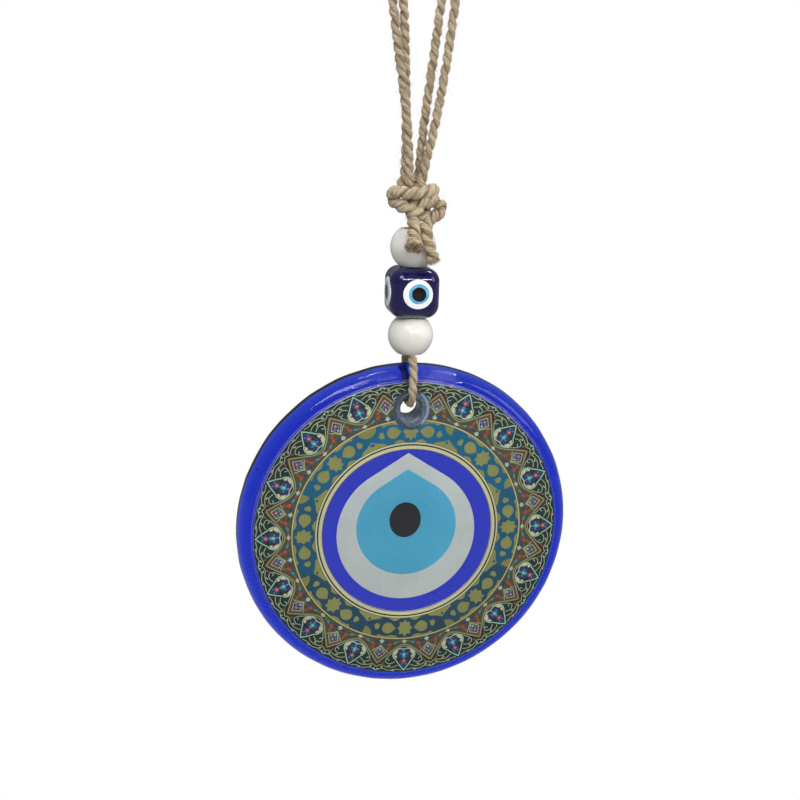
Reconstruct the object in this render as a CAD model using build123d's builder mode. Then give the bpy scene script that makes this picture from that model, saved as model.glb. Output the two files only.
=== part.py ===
from build123d import *
import math
import os

# ---------------------------------------------------------------------------
# Evil eye ornament, hung from a doubled loop of jute cord.
# Origin: the hang point, the inside of the loops' top. +Z up, front is -Y.
# All sizes in millimetres.
# ---------------------------------------------------------------------------

# disc
DISC_Z = -210.0          # height of the disc's centre
DISC_R = 55.0            # outer radius
BACK_Y = 4.5             # flat back face
FRONT_Y = -4.5           # flat front face of the glass, under the film
RIM_IN = 50.6            # radius where the front face turns into the rim
RIM_TURN_Y = 1.5         # where the rim reaches its full radius
BACK_EDGE_R = 3.0        # fire-polished back edge
HOLE_DZ = 41.1           # hole axis above the disc's centre
HOLE_R = 3.25
LIP_FRONT = 1.6
LIP_BACK = 1.2
MOUTH_RX, MOUTH_RZ = 4.95, 5.65   # opening of the film and the coat round the hole
FILM_T = 0.25
FILM_R = 49.8
COAT_T = 0.85

# beads
BEAD_R = 7.1
BEAD_H = 11.6
BORE_R = 2.9
MOUTH_R = 4.6            # the bore widens to this at each end
MOUTH_DEPTH = 2.9
BEAD_FLAT_R = 4.95
CUBE_S = 15.6
CUBE_EDGE_R = 4.2
BEAD_GAP = 0.2
LOWER_BEAD_DZ = 58.4     # its bottom face above the disc's centre
EYE_R, IRIS_R, PUPIL_R = 4.6, 3.25, 2.3
EYE_DEPTH, IRIS_DEPTH, PUPIL_DEPTH = 1.5, 1.0, 0.6
EYE_PROUD = 0.2

# cord
CORD_D = 2.5
STRAND_Y = 1.3           # half the spacing of two strands side by side

HOLE_Z = DISC_Z + HOLE_DZ
LOWER_Z0 = DISC_Z + LOWER_BEAD_DZ
LOWER_ZC = LOWER_Z0 + BEAD_H / 2
CUBE_ZC = LOWER_Z0 + BEAD_H + BEAD_GAP + CUBE_S / 2
UPPER_ZC = CUBE_ZC + CUBE_S / 2 + BEAD_GAP + BEAD_H / 2
UPPER_Z1 = UPPER_ZC + BEAD_H / 2

os.makedirs("parts", exist_ok=True)


def finish(part, label, color):
    part.label = label
    part.color = Color(*color)
    export_step(part, f"parts/{label}.step")


# ---------------------------------------------------------------------------
# Disc
# ---------------------------------------------------------------------------
disc_plane = Plane.XY.offset(DISC_Z)
disc_axis = Axis((0, 0, DISC_Z), (0, 1, 0))
hole_plane = Plane(origin=(0, 0, HOLE_Z), x_dir=(1, 0, 0), z_dir=(0, -1, 0))

with BuildPart() as glass_disc:
    with BuildSketch(disc_plane):
        with BuildLine():
            Line((0, FRONT_Y), (0, BACK_Y))
            Line((0, BACK_Y), (DISC_R - BACK_EDGE_R, BACK_Y))
            CenterArc((DISC_R - BACK_EDGE_R, BACK_Y - BACK_EDGE_R), BACK_EDGE_R, 0, 90)
            EllipticalCenterArc(
                (RIM_IN, RIM_TURN_Y), DISC_R - RIM_IN, RIM_TURN_Y - FRONT_Y, 270, arc_size=90
            )
            Line((RIM_IN, FRONT_Y), (0, FRONT_Y))
        make_face()
    revolve(axis=disc_axis)
    with BuildSketch(hole_plane):
        Circle(HOLE_R)
    extrude(amount=20, both=True, mode=Mode.SUBTRACT)
    hole_edges = glass_disc.edges().filter_by(GeomType.CIRCLE).filter_by(
        lambda e: abs(e.radius - HOLE_R) < 1e-3
    )
    fillet(hole_edges.sort_by(Axis.Y)[-1], radius=LIP_BACK)
    front_lip = glass_disc.edges().filter_by(GeomType.CIRCLE).filter_by(
        lambda e: abs(e.radius - HOLE_R) < 1e-3
    )
    fillet(front_lip.sort_by(Axis.Y)[0], radius=LIP_FRONT)

# printed film on the glass, open round the hole
FILM_Y = FRONT_Y - FILM_T
with BuildPart() as print_film:
    with BuildSketch(Plane(origin=(0, FRONT_Y, DISC_Z), x_dir=(1, 0, 0), z_dir=(0, -1, 0))):
        Circle(FILM_R)
        with Locations((0, HOLE_DZ)):
            Ellipse(MOUTH_RX, MOUTH_RZ, mode=Mode.SUBTRACT)
    extrude(amount=FILM_T)

# clear coat: over the film, wrapping its edge, thinning out to nothing on the rim
COAT_Y = FILM_Y - COAT_T
with BuildPart() as clear_coat:
    with BuildSketch(disc_plane):
        with BuildLine():
            Line((0, FILM_Y), (FILM_R, FILM_Y))
            Line((FILM_R, FILM_Y), (FILM_R, FRONT_Y))
            Line((FILM_R, FRONT_Y), (RIM_IN, FRONT_Y))
            EllipticalCenterArc(
                (RIM_IN - 2.2, FRONT_Y), 2.2, FRONT_Y - COAT_Y, 270, arc_size=90
            )
            Line((RIM_IN - 2.2, COAT_Y), (0, COAT_Y))
            Line((0, COAT_Y), (0, FILM_Y))
        make_face()
    revolve(axis=disc_axis)
    with BuildSketch(Plane(origin=(0, 0, DISC_Z), x_dir=(1, 0, 0), z_dir=(0, -1, 0))):
        with Locations((0, HOLE_DZ)):
            Ellipse(MOUTH_RX, MOUTH_RZ)
    extrude(amount=20, mode=Mode.SUBTRACT)
    mouth = clear_coat.edges().filter_by(
        lambda e: e.bounding_box().max.Y < COAT_Y + 1e-3
        and e.bounding_box().max.Z < HOLE_Z + MOUTH_RZ + 0.1
        and e.bounding_box().min.Z > HOLE_Z - MOUTH_RZ - 0.1
    )
    fillet(mouth, radius=0.45)

# ---------------------------------------------------------------------------
# Beads: barrel-shaped white beads and a cube with an eye on each side
# ---------------------------------------------------------------------------


def bead_profile():
    """Half section of a white bead about its own bore, centred on the local origin."""
    h = BEAD_H / 2
    with BuildSketch(mode=Mode.PRIVATE) as section:
        with BuildLine():
            Line((MOUTH_R, -h), (BEAD_FLAT_R, -h))
            Spline(
                (BEAD_FLAT_R, -h), (BEAD_R, 0), tangents=((1, 0.32), (0, 1)), tangent_scalars=(1.1, 1.35)
            )
            Spline(
                (BEAD_R, 0), (BEAD_FLAT_R, h), tangents=((0, 1), (-1, 0.32)), tangent_scalars=(1.35, 1.1)
            )
            Polyline(
                (BEAD_FLAT_R, h),
                (MOUTH_R, h),
                (BORE_R, h - MOUTH_DEPTH),
                (BORE_R, MOUTH_DEPTH - h),
                (MOUTH_R, -h),
            )
        make_face()
        fillet(section.vertices().filter_by(lambda v: v.X < MOUTH_R + 0.01), radius=0.3)
    return section.sketch


with BuildPart() as lower_white_bead:
    with BuildSketch(Plane(origin=(0, 0, LOWER_ZC), x_dir=(1, 0, 0), z_dir=(0, -1, 0))):
        add(bead_profile())
    revolve(axis=Axis.Z)

with BuildPart() as upper_white_bead:
    with BuildSketch(Plane(origin=(0, 0, UPPER_ZC), x_dir=(1, 0, 0), z_dir=(0, -1, 0))):
        add(bead_profile())
    revolve(axis=Axis.Z)

with BuildPart() as cube_bead:
    with Locations((0, 0, CUBE_ZC)):
        Box(CUBE_S, CUBE_S, CUBE_S)
    fillet(cube_bead.edges(), radius=CUBE_EDGE_R)
    with BuildSketch(Plane.XY.offset(CUBE_ZC)):
        Circle(BORE_R)
    extrude(amount=CUBE_S, both=True, mode=Mode.SUBTRACT)
    bore_edges = cube_bead.edges().filter_by(GeomType.CIRCLE).filter_by(
        lambda e: abs(e.radius - BORE_R) < 1e-3
    )
    fillet(bore_edges, radius=0.6)
    with Locations((0, 0, CUBE_ZC)):
        with PolarLocations(CUBE_S / 2 + EYE_PROUD - EYE_DEPTH / 2, 4):
            Cylinder(EYE_R, EYE_DEPTH, rotation=(0, 90, 0), mode=Mode.SUBTRACT)

with BuildPart() as cube_bead_eye_whites:
    with Locations((0, 0, CUBE_ZC)):
        with PolarLocations(CUBE_S / 2 + EYE_PROUD - EYE_DEPTH / 2, 4):
            Cylinder(EYE_R, EYE_DEPTH, rotation=(0, 90, 0))
    outer = cube_bead_eye_whites.edges().filter_by(GeomType.CIRCLE).filter_by(
        lambda e: (e.arc_center - Vector(0, 0, CUBE_ZC)).length > CUBE_S / 2
    )
    fillet(outer, radius=0.18)
    with Locations((0, 0, CUBE_ZC)):
        with PolarLocations(CUBE_S / 2 + EYE_PROUD - IRIS_DEPTH / 2, 4):
            Cylinder(IRIS_R, IRIS_DEPTH, rotation=(0, 90, 0), mode=Mode.SUBTRACT)

with BuildPart() as cube_bead_eye_irises:
    with Locations((0, 0, CUBE_ZC)):
        with PolarLocations(CUBE_S / 2 + EYE_PROUD - IRIS_DEPTH / 2, 4):
            Cylinder(IRIS_R, IRIS_DEPTH, rotation=(0, 90, 0))
        with PolarLocations(CUBE_S / 2 + EYE_PROUD - PUPIL_DEPTH / 2, 4):
            Cylinder(PUPIL_R, PUPIL_DEPTH, rotation=(0, 90, 0), mode=Mode.SUBTRACT)

with BuildPart() as cube_bead_eye_pupils:
    with Locations((0, 0, CUBE_ZC)):
        with PolarLocations(CUBE_S / 2 + EYE_PROUD - PUPIL_DEPTH / 2, 4):
            Cylinder(PUPIL_R, PUPIL_DEPTH, rotation=(0, 90, 0))

# ---------------------------------------------------------------------------
# Cord: plain tubes of the cord's diameter; the knot is one closed lump
# ---------------------------------------------------------------------------


def arc_radii(points, tight):
    """Radius at each corner: 0.45 of the shorter run over the tangent of half the turn,
    unless the cord is pulled round an edge there, whose size is given in tight."""
    radii = []
    for i in range(1, len(points) - 1):
        a = Vector(*points[i]) - Vector(*points[i - 1])
        b = Vector(*points[i + 1]) - Vector(*points[i])
        turn = math.radians(a.get_angle(b))
        r = 0.45 * min(a.length, b.length) / math.tan(turn / 2)
        radii.append(round(min(tight.get(i, r), r), 3))
    return radii


def cord_tube(label, points, tight=None):
    radii = arc_radii(points, tight or {})
    with BuildPart() as tube:
        with BuildLine() as path:
            FilletPolyline(*points, radius=radii)
        route = path.wire()
        with BuildSketch(Plane(origin=route @ 0, z_dir=route % 0)):
            Circle(CORD_D / 2)
        sweep(path=route)
    length = route.length
    expected = math.pi * CORD_D**2 / 4 * length
    print(
        f"{label}: length {length:.1f} mm, volume {tube.part.volume:.1f} of {expected:.1f},"
        f" radii {radii}"
    )
    return tube


D = DISC_Z
KNOT_Z0, KNOT_Z1 = D + 99.3, D + 113.6

# through the disc's hole, round its rim on both sides, and up through the beads
BIGHT = [
    (0.05, -STRAND_Y, D + 100.3),
    (0.10, -STRAND_Y, D + 61.2),
    (0.10, -2.15, D + 58.3),
    (0.05, -5.90, D + 54.7),
    (-0.15, -7.20, D + 50.6),
    (-0.30, -7.30, D + 47.2),
    (-0.40, -7.15, D + 44.6),
    (-0.40, -5.40, D + 42.9),
    (-0.35, -2.80, D + 42.7),
    (-0.30, 2.20, D + 42.7),
    (-0.25, 4.60, D + 42.85),
    (-0.25, 6.20, D + 44.7),
    (-0.25, 6.25, D + 47.4),
    (-0.25, 6.20, D + 50.6),
    (-0.20, 6.10, D + 55.1),
    (-0.15, 2.25, D + 58.25),
    (-0.10, STRAND_Y, D + 61.2),
    (-0.05, STRAND_Y, D + 100.3),
]
bight_cord = cord_tube("bight_cord", BIGHT)

# the two hanging loops, side by side where they lie over the hook
OUTER_LOOP = [
    (-1.9, -1.4, D + 112.9),
    (-3.3, -1.4, D + 131.0),
    (-7.8, -1.4, D + 157.1),
    (-10.2, -1.4, D + 177.0),
    (-11.2, -1.4, D + 188.0),
    (-11.6, -1.4, D + 196.0),
    (-11.0, -1.4, D + 203.0),
    (-7.9, -1.4, D + 208.2),
    (-2.7, -1.4, D + 211.25),
    (3.3, -1.4, D + 211.25),
    (8.6, -1.4, D + 208.2),
    (11.6, -1.4, D + 203.0),
    (12.3, -1.4, D + 195.5),
    (11.9, -1.4, D + 186.0),
    (11.0, -1.4, D + 173.2),
    (8.9, -1.4, D + 151.3),
    (5.6, -1.4, D + 129.5),
    (1.8, -1.4, D + 112.9),
]
outer_loop = cord_tube("outer_hanging_loop", OUTER_LOOP)

INNER_LOOP = [
    (-1.35, 1.35, D + 112.7),
    (-3.1, 1.4, D + 134.8),
    (-4.6, 1.4, D + 163.8),
    (-7.4, 1.4, D + 181.0),
    (-8.4, 1.4, D + 191.0),
    (-8.9, 1.4, D + 198.6),
    (-8.6, 1.4, D + 204.95),
    (-6.3, 1.4, D + 208.95),
    (-2.3, 1.4, D + 211.25),
    (2.3, 1.4, D + 211.25),
    (6.3, 1.4, D + 208.95),
    (8.6, 1.4, D + 204.95),
    (9.0, 1.4, D + 199.0),
    (8.9, 1.4, D + 192.5),
    (8.4, 1.4, D + 184.0),
    (7.3, 1.4, D + 171.0),
    (5.2, 1.4, D + 151.0),
    (2.2, 1.4, D + 127.0),
    (1.35, 1.35, D + 112.7),
]
inner_loop = cord_tube("inner_hanging_loop", INNER_LOOP)

# the cut tails, bent over the upper bead
LEFT_TAIL = [
    (-1.2, -3.4, D + 101.4),
    (-1.5, -6.8, D + 98.8),
    (-2.6, -9.1, D + 95.5),
    (-4.5, -11.0, D + 92.7),
]
left_tail = cord_tube("left_cord_tail", LEFT_TAIL)

RIGHT_TAIL = [
    (2.4, -3.4, D + 101.6),
    (2.0, -7.0, D + 98.4),
    (2.6, -9.2, D + 94.1),
    (4.1, -9.6, D + 89.2),
]
right_tail = cord_tube("right_cord_tail", RIGHT_TAIL)

# the knot's outer shape
with BuildPart() as cord_knot:
    for z, cx, cy, rx, ry in (
        (KNOT_Z0, 0.4, -0.9, 3.6, 3.4),
        (D + 101.8, 1.2, -1.0, 5.2, 4.4),
        (D + 104.4, 0.9, -0.6, 7.4, 5.6),
        (D + 107.4, -0.2, -0.4, 7.6, 5.8),
        (D + 110.4, -0.4, -0.2, 6.2, 5.0),
        (KNOT_Z1, 0.0, 0.0, 3.4, 2.9),
    ):
        with BuildSketch(Plane.XY.offset(z)):
            with Locations((cx, cy)):
                Ellipse(rx, ry)
    loft()

# ---------------------------------------------------------------------------
# Write one file per piece
# ---------------------------------------------------------------------------
finish(glass_disc.part, "glass_disc", (0.06, 0.12, 0.65))
finish(print_film.part, "print_film", (0.30, 0.38, 0.30))
finish(clear_coat.part, "clear_coat", (0.9, 0.95, 0.95, 0.3))
finish(lower_white_bead.part, "lower_white_bead", (0.87, 0.86, 0.83))
finish(upper_white_bead.part, "upper_white_bead", (0.87, 0.86, 0.83))
finish(cube_bead.part, "cube_bead", (0.05, 0.03, 0.25))
finish(cube_bead_eye_whites.part, "cube_bead_eye_whites", (0.9, 0.92, 0.94))
finish(cube_bead_eye_irises.part, "cube_bead_eye_irises", (0.25, 0.6, 0.85))
finish(cube_bead_eye_pupils.part, "cube_bead_eye_pupils", (0.02, 0.02, 0.03))
finish(bight_cord.part, "bight_cord", (0.62, 0.5, 0.35))
finish(cord_knot.part, "cord_knot", (0.62, 0.5, 0.35))
finish(outer_loop.part, "outer_hanging_loop", (0.62, 0.5, 0.35))
finish(inner_loop.part, "inner_hanging_loop", (0.62, 0.5, 0.35))
finish(left_tail.part, "left_cord_tail", (0.62, 0.5, 0.35))
finish(right_tail.part, "right_cord_tail", (0.62, 0.5, 0.35))
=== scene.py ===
import math
import random

import bmesh
import bpy
import numpy as np
from mathutils import Matrix, Vector, geometry, noise


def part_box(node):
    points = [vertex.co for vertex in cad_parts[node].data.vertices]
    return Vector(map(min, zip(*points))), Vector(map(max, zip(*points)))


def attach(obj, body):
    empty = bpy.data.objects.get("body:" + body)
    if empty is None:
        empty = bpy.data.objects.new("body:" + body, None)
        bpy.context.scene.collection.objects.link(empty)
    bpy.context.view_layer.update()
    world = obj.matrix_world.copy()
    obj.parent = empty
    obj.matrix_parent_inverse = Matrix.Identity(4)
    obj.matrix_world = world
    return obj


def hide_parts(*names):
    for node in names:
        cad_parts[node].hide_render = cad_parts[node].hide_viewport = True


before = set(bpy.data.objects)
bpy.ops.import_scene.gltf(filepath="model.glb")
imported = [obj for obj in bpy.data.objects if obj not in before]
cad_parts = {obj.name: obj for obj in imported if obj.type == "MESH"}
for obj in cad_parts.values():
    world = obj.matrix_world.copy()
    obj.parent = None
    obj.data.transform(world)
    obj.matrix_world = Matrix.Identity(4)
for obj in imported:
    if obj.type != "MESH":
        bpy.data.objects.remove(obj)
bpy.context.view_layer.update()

MM = 0.001
_lo, _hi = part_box("glass_disc")
D = (_lo.z + _hi.z) / 2 / MM  # the disc's centre, mm


def P(x, y, z):
    """A point in metres from millimetres, z above the disc's centre."""
    return Vector((x * MM, y * MM, (D + z) * MM))


def srgb(r, g, b):
    return tuple(
        (c / 255 / 12.92) if c / 255 <= 0.04045 else ((c / 255 + 0.055) / 1.055) ** 2.4
        for c in (r, g, b)
    )


def smooth01(t):
    t = min(1.0, max(0.0, t))
    return t * t * (3 - 2 * t)


scene = bpy.context.scene

# ---------------------------------------------------------------------------
# Camera
# ---------------------------------------------------------------------------
cam_data = bpy.data.cameras.new("camera")
cam = bpy.data.objects.new("camera", cam_data)
scene.collection.objects.link(cam)
cam_data.sensor_width = 36
cam_data.lens = 51.3
cam_data.clip_start, cam_data.clip_end = 0.01, 60
_f = Vector((0.20449, 0.94662, -0.24920)).normalized()
_r = Vector((0.97856, -0.20410, 0.02772))
_r = (_r - _r.dot(_f) * _f).normalized()
_u = (-_f).cross(_r)
_p = Vector((-0.07716, -0.34447, D * MM + 0.13372))
cam.matrix_world = Matrix(
    (
        (_r.x, _u.x, -_f.x, _p.x),
        (_r.y, _u.y, -_f.y, _p.y),
        (_r.z, _u.z, -_f.z, _p.z),
        (0, 0, 0, 1),
    )
)
scene.camera = cam


# ---------------------------------------------------------------------------
# Small kit
# ---------------------------------------------------------------------------
class Mat:
    """A node material with its Principled shader and a few shorthands."""

    def __init__(self, name):
        self.m = bpy.data.materials.new(name)
        self.m.use_nodes = True
        self.nt = self.m.node_tree
        self.p = next(n for n in self.nt.nodes if n.type == "BSDF_PRINCIPLED")
        self.out = next(n for n in self.nt.nodes if n.type == "OUTPUT_MATERIAL")

    def node(self, kind, **values):
        n = self.nt.nodes.new(kind)
        for k, v in values.items():
            if hasattr(n, k):
                setattr(n, k, v)
            else:
                n.inputs[k].default_value = v
        return n

    def link(self, a, b):
        self.nt.links.new(a, b)

    def set(self, **values):
        for k, v in values.items():
            self.p.inputs[k.replace("_", " ")].default_value = v
        return self

    def ramp(self, source, stops):
        r = self.node("ShaderNodeValToRGB")
        el = r.color_ramp.elements
        while len(el) > 1:
            el.remove(el[-1])
        el[0].position, el[0].color = stops[0][0], (*stops[0][1], 1)
        for pos, col in stops[1:]:
            e = el.new(pos)
            e.color = (*col, 1)
        self.link(source, r.inputs[0])
        return r.outputs[0]

    def coords(self, kind="Object", scale=(1, 1, 1)):
        tc = self.node("ShaderNodeTexCoord")
        mp = self.node("ShaderNodeMapping")
        mp.inputs["Scale"].default_value = scale
        self.link(tc.outputs[kind], mp.inputs[0])
        return mp.outputs[0]

    def noise(self, vec, scale, detail=3.0, rough=0.5):
        n = self.node("ShaderNodeTexNoise")
        n.inputs["Scale"].default_value = scale
        n.inputs["Detail"].default_value = detail
        n.inputs["Roughness"].default_value = rough
        self.link(vec, n.inputs["Vector"])
        return n.outputs["Fac"]

    def mix(self, fac, a, b, mode="MIX"):
        n = self.node("ShaderNodeMix")
        n.data_type = "RGBA"
        n.blend_type = mode
        for sock, v in ((n.inputs[0], fac), (n.inputs[6], a), (n.inputs[7], b)):
            if isinstance(v, (int, float)):
                sock.default_value = v
            elif isinstance(v, tuple):
                sock.default_value = (*v, 1)
            else:
                self.link(v, sock)
        return n.outputs[2]

    def bump(self, height, strength, distance):
        b = self.node("ShaderNodeBump")
        b.inputs["Strength"].default_value = strength
        b.inputs["Distance"].default_value = distance
        self.link(height, b.inputs["Height"])
        self.link(b.outputs[0], self.p.inputs["Normal"])


def piece(name, verts, faces, mats, smooth=True):
    me = bpy.data.meshes.new(name)
    me.from_pydata([tuple(v) for v in verts], [], faces)
    bm = bmesh.new()
    bm.from_mesh(me)
    bmesh.ops.recalc_face_normals(bm, faces=bm.faces)
    bm.to_mesh(me)
    bm.free()
    me.update()
    for m in mats:
        me.materials.append(m.m)
    if smooth:
        me.polygons.foreach_set("use_smooth", [True] * len(me.polygons))
    ob = bpy.data.objects.new(name, me)
    scene.collection.objects.link(ob)
    return ob


def strip(faces, a, b):
    """Quads between two closed rings of vertex numbers."""
    n = len(a)
    for i in range(n):
        j = (i + 1) % n
        faces.append((a[i], a[j], b[j], b[i]))


def catmull(points, per=6, closed=False):
    pts = [np.array(p, float) for p in points]
    n = len(pts)
    out = []
    last = n if closed else n - 1
    for i in range(last):
        p1, p2 = pts[i], pts[(i + 1) % n]
        p0 = pts[i - 1] if (i > 0 or closed) else 2 * p1 - p2
        p3 = pts[(i + 2) % n] if (i + 2 < n or closed) else 2 * p2 - p1
        for k in range(per):
            t = k / per
            out.append(
                0.5
                * (
                    2 * p1
                    + (p2 - p0) * t
                    + (2 * p0 - 5 * p1 + 4 * p2 - p3) * t * t
                    + (3 * p1 - 3 * p2 + p3 - p0) * t**3
                )
            )
    if not closed:
        out.append(pts[-1])
    return out


# ---------------------------------------------------------------------------
# The cord: one length of two-ply jute, from tail to tail through everything
# ---------------------------------------------------------------------------
TAIL_L = [
    (-2.7, -13.2, 93.3), (-2.2, -10.8, 94.2), (-1.6, -8.0, 98.0), (-1.4, -4.8, 101.2),
    (-1.2, -3.0, 103.4), (0.5, 0.5, 105.0), (2.5, 3.8, 106.5), (5.6, 1.5, 108.5),
    (5.3, -2.6, 109.9), (3.4, -5.4, 109.1), (0.0, -6.0, 108.5), (-4.5, -5.0, 108.6),
    (-7.4, -2.6, 108.7), (-7.7, -1.9, 106.9), (-6.2, -3.6, 105.2), (-3.2, -5.6, 103.9),
    (0.2, -5.7, 102.8), (2.5, -3.5, 102.0), (4.0, 0.5, 101.8), (2.2, 3.6, 103.4),
    (0.5, 4.0, 105.3), (-1.5, 3.6, 108.5), (-1.6, 0.5, 110.9),
]
OUTER = [
    (-1.9, -1.4, 112.9), (-3.3, -1.4, 131.0), (-7.8, -1.4, 157.1), (-10.2, -1.4, 177.0),
    (-11.2, -1.4, 188.0), (-11.6, -1.4, 196.0), (-11.0, -1.4, 203.0), (-7.9, -1.4, 208.2),
    (-2.7, -1.4, 211.25), (3.3, -1.4, 211.25), (8.6, -1.4, 208.2), (11.6, -1.4, 203.0),
    (12.3, -1.4, 195.5), (11.9, -1.4, 186.0), (11.0, -1.4, 173.2), (8.9, -1.4, 151.3),
    (5.6, -1.4, 129.5), (1.8, -1.4, 112.9),
]
KNOT_FRONT = [(1.2, -1.6, 108.0), (0.3, -1.2, 104.0)]
BIGHT = [
    (0.05, -1.3, 100.3), (0.10, -1.3, 61.2), (0.10, -2.15, 58.3), (0.05, -5.9, 54.7),
    (-0.15, -7.2, 50.6), (-0.30, -7.3, 47.2), (-0.40, -7.15, 44.6), (-0.40, -5.4, 42.9),
    (-0.35, -2.8, 42.7), (-0.30, 2.2, 42.7), (-0.25, 4.6, 42.85), (-0.25, 6.2, 44.7),
    (-0.25, 6.25, 47.4), (-0.25, 6.2, 50.6), (-0.20, 6.1, 55.1), (-0.15, 2.25, 58.25),
    (-0.10, 1.3, 61.2), (-0.05, 1.3, 100.3),
]
KNOT_BACK = [(-0.6, 1.2, 104.0), (-2.6, 1.6, 107.5), (-3.6, 0.8, 110.6), (-3.2, 0.6, 114.2), (-2.9, 1.2, 120.5)]
INNER = [
    (-3.1, 1.4, 134.8), (-4.6, 1.4, 163.8), (-7.4, 1.4, 181.0),
    (-8.4, 1.4, 191.0), (-8.9, 1.4, 198.6), (-8.6, 1.4, 204.95), (-6.3, 1.4, 208.95),
    (-2.3, 1.4, 211.25), (2.3, 1.4, 211.25), (6.3, 1.4, 208.95), (8.6, 1.4, 204.95),
    (9.0, 1.4, 199.0), (8.9, 1.4, 192.5), (8.4, 1.4, 184.0), (7.3, 1.4, 171.0),
    (5.2, 1.4, 151.0), (2.2, 1.4, 127.0), (1.35, 1.35, 112.7),
]
TAIL_R = [
    (-0.6, 2.2, 109.4), (-2.2, 0.9, 106.5), (-1.5, -2.0, 104.4), (0.6, -4.6, 105.0),
    (2.6, -5.6, 106.0), (5.4, -4.6, 106.4), (7.4, -2.9, 105.4), (7.5, -3.1, 103.2),
    (5.8, -4.6, 101.8), (3.2, -5.0, 100.4), (2.0, -7.2, 98.3), (2.6, -9.2, 94.1),
    (4.1, -9.6, 89.2),
]
ROUTE = TAIL_L + OUTER + KNOT_FRONT + BIGHT + KNOT_BACK + INNER + TAIL_R

curve = bpy.data.curves.new("cord_route", "CURVE")
curve.dimensions = "3D"
spline = curve.splines.new("NURBS")
spline.points.add(len(ROUTE) - 1)
for pt, (x, y, z) in zip(spline.points, ROUTE):
    pt.co = (*P(x, y, z), 1)
spline.order_u = 3
spline.use_endpoint_u = True
curve.resolution_u = 48
route_ob = bpy.data.objects.new("cord_route", curve)
scene.collection.objects.link(route_ob)
bpy.context.view_layer.update()
line = bpy.data.meshes.new_from_object(route_ob)
pts = np.array([v.co[:] for v in line.vertices])
bpy.data.objects.remove(route_ob)
bpy.data.curves.remove(curve)
bpy.data.meshes.remove(line)

seg = np.linalg.norm(np.diff(pts, axis=0), axis=1)
keep = np.concatenate([[True], seg > 1e-7])
pts = pts[keep]
seg = np.linalg.norm(np.diff(pts, axis=0), axis=1)
arc = np.concatenate([[0], np.cumsum(seg)])
CORD_LENGTH = float(arc[-1])
STEP = 0.36 * MM
n_ring = int(CORD_LENGTH / STEP) + 1
s_at = np.linspace(0, CORD_LENGTH, n_ring)
centre = np.stack([np.interp(s_at, arc, pts[:, k]) for k in range(3)], axis=1)
tangent = np.gradient(centre, axis=0)
tangent /= np.linalg.norm(tangent, axis=1)[:, None]
normal = np.zeros_like(tangent)
n0 = np.cross(tangent[0], (0, 0, 1.0))
normal[0] = n0 / np.linalg.norm(n0)
for i in range(1, n_ring):
    n0 = normal[i - 1] - tangent[i] * np.dot(normal[i - 1], tangent[i])
    normal[i] = n0 / np.linalg.norm(n0)
binormal = np.cross(tangent, normal)

PITCH = 6.4 * MM
PLY_OFF, PLY_R, SIDES = 0.53 * MM, 0.89 * MM, 12


def swell(s):
    """How much the cord opens out: in the knot, in the two tails, and most at the cut ends."""
    z = float(np.interp(s, s_at, centre[:, 2])) / MM - D
    knot = 0.46 * smooth01((z - 99.0) / 3) * smooth01((114.0 - z) / 3)
    left = 0.42 * smooth01((17 - s / MM) / 4) + 0.50 * smooth01(1 - s / MM / 6)
    e = (CORD_LENGTH - s) / MM
    right = 0.38 * smooth01((19 - e) / 4) + 0.10 * smooth01(1 - e / 6)
    hole = 0.15 * smooth01((47.0 - z) / 2)  # drawn tight where it turns through the disc
    return 1 + max(knot, left, right) - hole


verts, faces, rest, crest = [], [], [], []
rng = np.random.default_rng(11)
for ply in range(2):
    rings = []
    for i in range(n_ring):
        s = s_at[i]
        th = -2 * math.pi * s / PITCH + math.pi * ply + 0.35 * math.sin(s * 190 + 2 * ply)
        w = swell(s)
        nr = math.cos(th) * normal[i] + math.sin(th) * binormal[i]
        nt = -math.sin(th) * normal[i] + math.cos(th) * binormal[i]
        c = centre[i] + nr * PLY_OFF * w
        ring = []
        for k in range(SIDES):
            ph = 2 * math.pi * k / SIDES
            fibre = ph + s / MM * 0.55
            q = Vector((s / MM * 0.22 + 40 * ply, 2.4 * math.cos(fibre), 2.4 * math.sin(fibre)))
            r = PLY_R * w * (1 + 0.20 * noise.noise(q) + 0.07 * noise.noise(q * 2.7))
            ring.append(len(verts))
            verts.append(c + (math.cos(ph) * nr + 1.12 * math.sin(ph) * nt) * r)
            rest.append((s / MM + 300 * ply, 0.72 * math.cos(fibre), 0.72 * math.sin(fibre)))
            # crest: 1 on the ply's outer side, 0 where the two plies meet; it drives the painted shade between the
            # plies
            crest.append(0.5 + 0.5 * math.cos(ph))
        rings.append(ring)
    for a, b in zip(rings, rings[1:]):
        strip(faces, a, b)
    for ring, sign, i in ((rings[0], -1, 0), (rings[-1], 1, n_ring - 1)):
        tip = len(verts)
        mid = sum(verts[v] for v in ring) / SIDES
        verts.append(mid + tangent[i] * sign * 0.25 * MM)
        rest.append(rest[ring[0]])
        # the low crest value darkens the cut end's tip: painted shade
        crest.append(0.2)
        for k in range(SIDES):
            a, b = ring[k], ring[(k + 1) % SIDES]
            faces.append((b, a, tip) if sign < 0 else (a, b, tip))

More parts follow.
